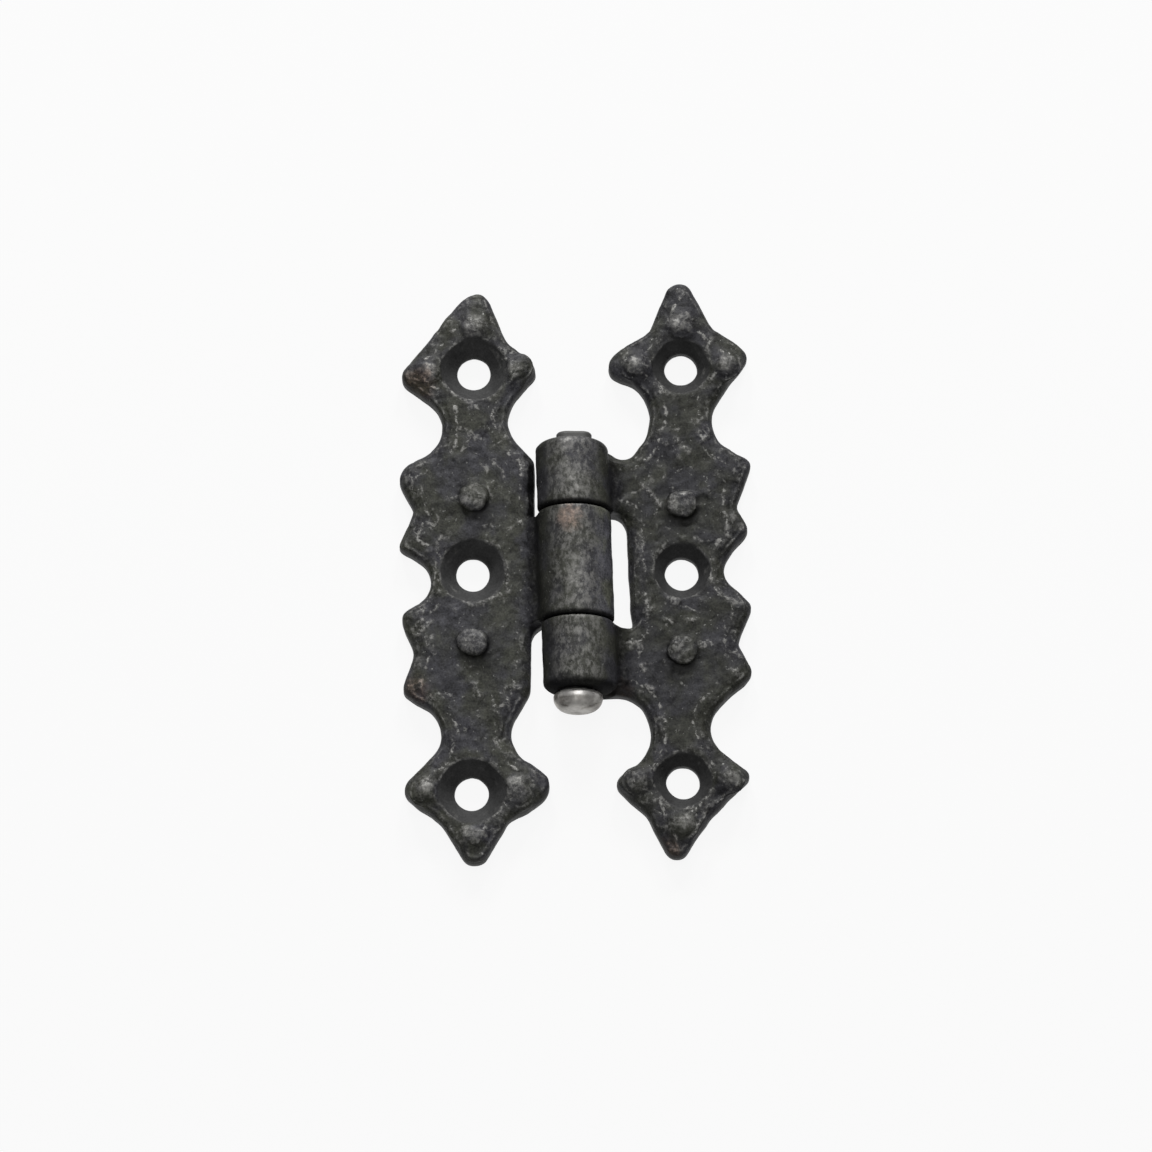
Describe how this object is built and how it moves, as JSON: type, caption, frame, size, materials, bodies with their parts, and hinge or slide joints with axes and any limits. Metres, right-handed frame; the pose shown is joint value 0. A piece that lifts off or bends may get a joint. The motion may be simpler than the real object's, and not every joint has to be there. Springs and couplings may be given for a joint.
{
  "type": "hinge",
  "caption": "Cast iron H hinge for a cabinet door: scalloped leaves with pointed ends, raised studs and countersunk screw holes, swinging on a riveted steel pin.",
  "frame": {"origin": "on the back plane of both leaves, under the pin axis, level with the middle screw holes", "axes": "+X across towards the leaf that holds the pin, +Y along the pin towards its small upper end, +Z out of the wall or frame the hinge is screwed to"},
  "size_m": [0.0492, 0.0846, 0.01],
  "materials": {
    "black_iron": "rough cast iron with a worn black finish",
    "bare_steel": "worn bare steel"
  },
  "bodies": {
    "fixed_leaf": {"right_leaf": "black_iron", "hinge_pin": "bare_steel"},
    "swinging_leaf": {"left_leaf": "black_iron"}
  },
  "joints": [
    {"name": "leaf_swing", "type": "hinge", "parent": "fixed_leaf", "child": "swinging_leaf", "pos_m": [0, 0, 0.0049], "axis": [0, 1, 0], "range_deg": [0, 180]}
  ]
}
